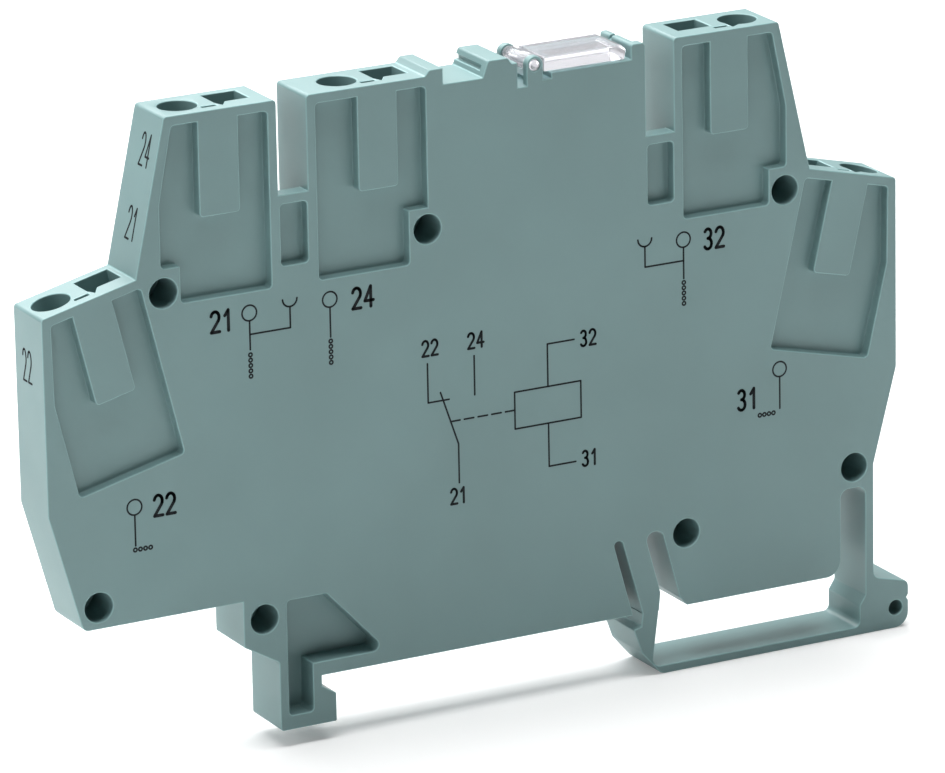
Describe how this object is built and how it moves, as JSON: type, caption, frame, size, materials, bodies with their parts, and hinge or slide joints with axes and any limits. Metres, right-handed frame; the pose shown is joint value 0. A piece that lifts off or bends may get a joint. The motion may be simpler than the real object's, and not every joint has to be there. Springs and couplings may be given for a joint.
{
  "type": "relay module",
  "caption": "Slim rail-mounted relay module with spring-clamp terminals, a hinged clear marker cover, a fixed rail hook and a sprung rail foot with release lug.",
  "frame": {"origin": "middle of the rail on the rail seat, half way through the module's thickness", "axes": "+X along the module towards the sprung foot, +Y through its thickness towards the rear cover, +Z away from the rail"},
  "size_m": [0.091, 0.006, 0.0629],
  "materials": {
    "housing_plastic": "fine-grained moulded plastic",
    "cover_plastic": "fine-grained moulded plastic",
    "clear_plastic": "clear polished plastic",
    "light_guide_plastic": "clear polished plastic",
    "board_laminate": "solder-masked laminate",
    "relay_plastic": "moulded plastic",
    "bobbin_plastic": "moulded plastic",
    "winding_copper": "enamelled copper wire",
    "soft_iron": "plated iron",
    "contact_brass": "rolled copper alloy",
    "tinned_copper": "tin-plated copper",
    "spring_steel": "stainless spring steel",
    "card_plastic": "moulded plastic",
    "led_resin": "tinted resin",
    "chip_ceramic": "glazed ceramic",
    "diode_glass": "glass with a dark band"
  },
  "bodies": {
    "module": {"housing": "housing_plastic", "rear_cover": "cover_plastic", "circuit_board": "board_laminate", "relay_base": "relay_plastic", "relay_case": "relay_plastic", "relay_yoke": "soft_iron", "relay_core": "soft_iron", "coil_bobbin": "bobbin_plastic", "coil_winding": "winding_copper", "coil_pins": "tinned_copper", "spring_root": "contact_brass", "nc_contact": "contact_brass", "no_contact": "contact_brass", "status_led": "led_resin", "light_guide": "light_guide_plastic", "chip_resistors": "chip_ceramic", "diode": "diode_glass", "clamp_spring_1": "spring_steel", "current_bar_1": "tinned_copper", "clamp_spring_2": "spring_steel", "current_bar_2": "tinned_copper", "clamp_spring_3": "spring_steel", "current_bar_3": "tinned_copper", "clamp_spring_4": "spring_steel", "current_bar_4": "tinned_copper", "clamp_spring_5": "spring_steel", "current_bar_5": "tinned_copper"},
    "marker_lid": {"marker_cover": "clear_plastic"},
    "armature": {"armature": "soft_iron"},
    "card": {"actuator_card": "card_plastic"},
    "moving_contact": {"contact_spring": "contact_brass"}
  },
  "joints": [
    {"name": "marker_hinge", "type": "hinge", "parent": "module", "child": "marker_lid", "pos_m": [0.00602, 0, 0.05545], "axis": [0, -1, 0], "range_deg": [0, 100]},
    {"name": "armature_pivot", "type": "hinge", "parent": "module", "child": "armature", "pos_m": [0.00648, 0, 0.0228], "axis": [0, 1, 0], "range_deg": [0, 5], "stiffness_Nm_per_rad": 0.01, "springref_deg": -2.86},
    {"name": "card_slide", "type": "slide", "parent": "module", "child": "card", "axis": [1, 0, 0], "range_m": [0, 0.00028]},
    {"name": "contact_bend", "type": "hinge", "parent": "module", "child": "moving_contact", "pos_m": [0.01084, 0, 0.0144], "axis": [0, 1, 0], "range_deg": [0, 1.4]}
  ],
  "couplings": [
    {"joint": "card_slide", "follows": "armature_pivot", "m_per_rad": 0.003},
    {"joint": "contact_bend", "follows": "armature_pivot", "ratio": 0.26316}
  ]
}
